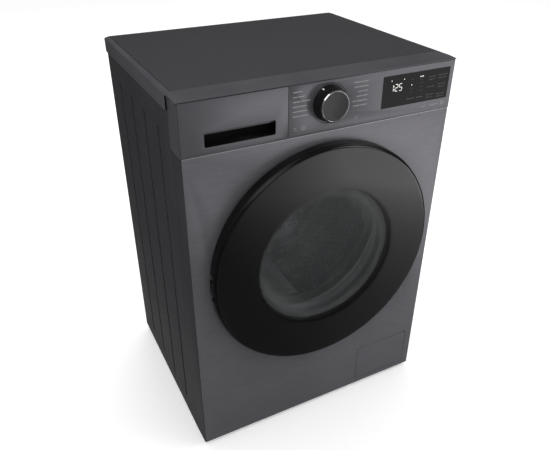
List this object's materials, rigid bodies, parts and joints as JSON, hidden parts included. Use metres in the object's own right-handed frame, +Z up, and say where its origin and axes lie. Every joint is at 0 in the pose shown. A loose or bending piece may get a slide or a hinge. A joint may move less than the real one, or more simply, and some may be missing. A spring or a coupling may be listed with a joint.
{
  "type": "front load washing machine",
  "caption": "Slim front-loading washing machine with a round door, dosing drawer, programme knob, drum and levelling feet.",
  "frame": {"origin": "centre of the overall footprint, on the floor under the feet", "axes": "+Z up; the door faces -Y; +X to the right of a person facing the door"},
  "size_m": [0.6, 0.507, 0.85],
  "materials": {
    "cabinet_paint": "satin dark grey powder coat",
    "top_paint": "matt dark grey laminate",
    "trim_plastic": "dark grey moulded plastic",
    "brushed_front": "dark steel with a fine level brush",
    "fascia_plastic": "dark grey metallic paint",
    "display_glass": "black display window",
    "circuit_board": "green board in a plastic carrier",
    "zinc_steel": "zinc plated",
    "galvanised": "galvanised steel sheet",
    "valve_plastic": "off-white engineering plastic",
    "hose_rubber": "black moulded rubber",
    "housing_plastic": "light grey plastic",
    "hinge_metal": "dark cast alloy",
    "gasket_rubber": "grey moulded rubber",
    "tub_plastic": "grey filled polypropylene",
    "concrete": "rough grey concrete",
    "spring_steel": "plain spring wire",
    "damper_plastic": "black moulded plastic",
    "copper_winding": "enamelled copper winding",
    "heater_steel": "bright tube",
    "drain_hose_plastic": "grey hose plastic",
    "black_plastic": "black plastic",
    "bearing_steel": "ground steel",
    "cap_plastic": "grey plastic",
    "drum_steel": "stainless steel with fine holes",
    "lifter_plastic": "light grey plastic",
    "spider_alloy": "cast aluminium",
    "rotor_steel": "dark pressed steel",
    "door_glass": "black tinted tempered glass",
    "door_rim": "black plastic",
    "door_inner": "dark grey plastic",
    "bowl_glass": "clear pressed glass",
    "hook_metal": "die-cast metal",
    "knob_black": "glossy black plastic",
    "knob_metal": "spun dark metal",
    "tray_plastic": "pale grey plastic",
    "filter_plastic": "blue plastic",
    "foot_rubber": "black rubber foot"
  },
  "bodies": {
    "cabinet": {"base_pan": "galvanised", "side_panel_left": "cabinet_paint", "side_panel_right": "cabinet_paint", "rear_panel": "galvanised", "rear_cover": "galvanised", "top_panel": "top_paint", "top_trim": "trim_plastic", "front_panel": "brushed_front", "control_fascia": "fascia_plastic", "display_window": "display_glass", "display_board": "circuit_board", "cross_braces": "zinc_steel", "power_board": "circuit_board", "inlet_valve": "valve_plastic", "inlet_hose": "hose_rubber", "dispenser_housing": "housing_plastic", "dispenser_hose": "hose_rubber", "pressure_sensor": "valve_plastic", "door_lock": "valve_plastic", "hinge_bracket": "hinge_metal", "door_gasket": "gasket_rubber", "gasket_clamps": "zinc_steel", "tub_front": "tub_plastic", "tub_rear": "tub_plastic", "counterweights": "concrete", "suspension_springs": "spring_steel", "dampers": "damper_plastic", "stator": "copper_winding", "heater": "heater_steel", "drain_pump": "valve_plastic", "sump_hose": "hose_rubber", "drain_hose": "drain_hose_plastic", "cord_gland": "black_plastic", "bearing_set": "bearing_steel", "transit_caps": "cap_plastic", "foot_locknuts": "zinc_steel", "cabinet_screws": "zinc_steel"},
    "drum": {"drum_shell": "drum_steel", "drum_back": "drum_steel", "drum_lifters": "lifter_plastic", "drum_spider": "spider_alloy", "drum_shaft": "bearing_steel", "rotor": "rotor_steel", "rotor_bolt": "zinc_steel"},
    "door": {"door_glass": "door_glass", "door_frame": "door_rim", "door_inner_frame": "door_inner", "door_bowl": "bowl_glass", "door_hinge_arm": "hinge_metal"},
    "door_hook": {"door_hook": "hook_metal"},
    "knob": {"knob": "knob_black", "knob_cap": "knob_metal"},
    "drawer": {"drawer_front": "fascia_plastic", "drawer_tray": "tray_plastic"},
    "hatch": {"service_hatch": "brushed_front"},
    "filter": {"pump_filter": "filter_plastic"},
    "foot_front_left": {"foot_front_left": "foot_rubber"},
    "foot_front_right": {"foot_front_right": "foot_rubber"},
    "foot_rear_left": {"foot_rear_left": "foot_rubber"},
    "foot_rear_right": {"foot_rear_right": "foot_rubber"}
  },
  "joints": [
    {"name": "door_hinge", "type": "hinge", "parent": "cabinet", "child": "door", "pos_m": [-0.251, -0.2405, 0.463], "axis": [0, 0, -1], "range_deg": [0, 150]},
    {"name": "door_hook_pivot", "type": "hinge", "parent": "door", "child": "door_hook", "pos_m": [0.198, -0.2385, 0.463], "axis": [0, 0, 1], "range_deg": [0, 8], "stiffness_Nm_per_rad": 0.6},
    {"name": "drum_spin", "type": "hinge", "parent": "cabinet", "child": "drum", "pos_m": [0, 0, 0.463], "axis": [0, 1, 0], "continuous": true},
    {"name": "knob_turn", "type": "hinge", "parent": "cabinet", "child": "knob", "pos_m": [0, -0.2365, 0.799], "axis": [0, 1, 0], "continuous": true},
    {"name": "drawer_slide", "type": "slide", "parent": "cabinet", "child": "drawer", "axis": [0, -1, 0], "range_m": [0, 0.24]},
    {"name": "hatch_flap", "type": "hinge", "parent": "cabinet", "child": "hatch", "pos_m": [0.1995, -0.2231, 0.033], "axis": [1, 0, 0], "range_deg": [0, 90]},
    {"name": "filter_turn", "type": "hinge", "parent": "cabinet", "child": "filter", "pos_m": [0.2, -0.2165, 0.08], "axis": [0, -1, 0], "range_deg": [0, 90]},
    {"name": "foot_front_left_screw", "type": "slide", "parent": "cabinet", "child": "foot_front_left", "axis": [0, 0, 1], "range_m": [-0.015, 0]},
    {"name": "foot_front_right_screw", "type": "slide", "parent": "cabinet", "child": "foot_front_right", "axis": [0, 0, 1], "range_m": [-0.015, 0]},
    {"name": "foot_rear_left_screw", "type": "slide", "parent": "cabinet", "child": "foot_rear_left", "axis": [0, 0, 1], "range_m": [-0.015, 0]},
    {"name": "foot_rear_right_screw", "type": "slide", "parent": "cabinet", "child": "foot_rear_right", "axis": [0, 0, 1], "range_m": [-0.015, 0]}
  ]
}
